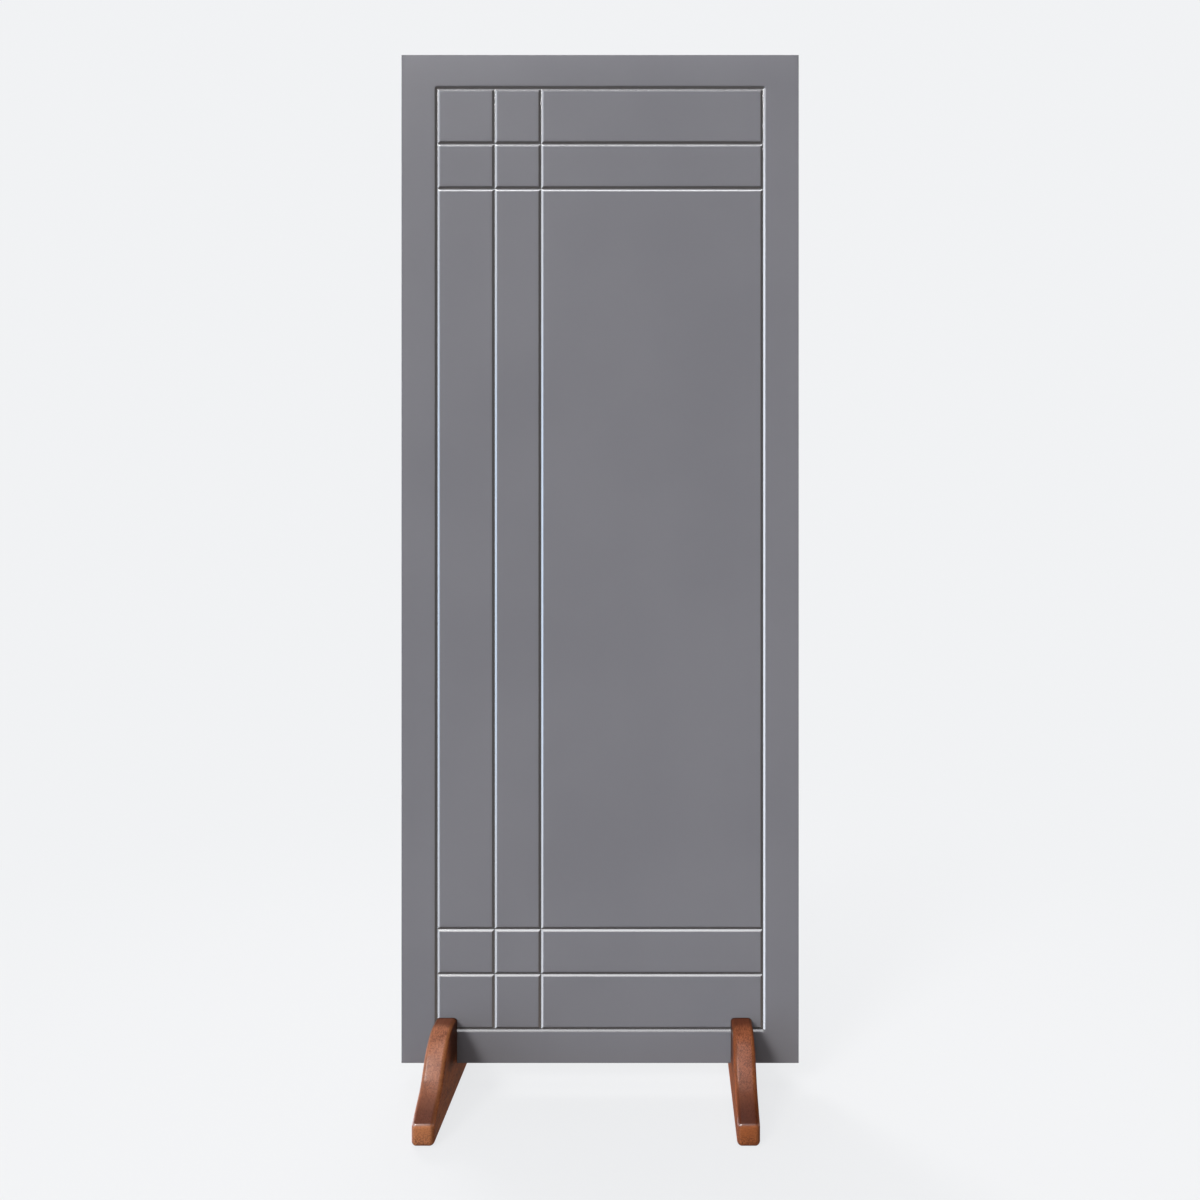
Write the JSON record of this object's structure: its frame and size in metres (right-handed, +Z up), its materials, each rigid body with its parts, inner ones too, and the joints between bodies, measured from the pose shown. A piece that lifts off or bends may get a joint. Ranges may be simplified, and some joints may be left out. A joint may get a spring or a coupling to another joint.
{
  "type": "door leaf on feet",
  "caption": "Grey painted flush door leaf with an off-centre grid of routed V grooves, standing upright in slotted, shaped wooden feet.",
  "frame": {"origin": "on the floor, under the middle of the leaf's width and thickness", "axes": "+Z up along the leaf's height, +X to the right across its width seen from the front, +Y through its thickness from front to back"},
  "size_m": [0.8, 0.4006, 2.085],
  "materials": {
    "leaf_paint": "satin grey enamel over fibreboard",
    "frame_wood": "planed softwood, painted where it meets the leaf's top and bottom edge",
    "core_board": "raw extruded chipboard",
    "foot_wood": "brown stain under a satin lacquer"
  },
  "bodies": {
    "root": {"front_skin": "leaf_paint", "back_skin": "leaf_paint", "left_lipping": "leaf_paint", "right_lipping": "leaf_paint", "left_stile": "frame_wood", "right_stile": "frame_wood", "top_rail": "frame_wood", "bottom_rail": "frame_wood", "left_lock_block": "frame_wood", "right_lock_block": "frame_wood", "tubular_core": "core_board", "left_foot": "foot_wood", "right_foot": "foot_wood"}
  },
  "joints": []
}
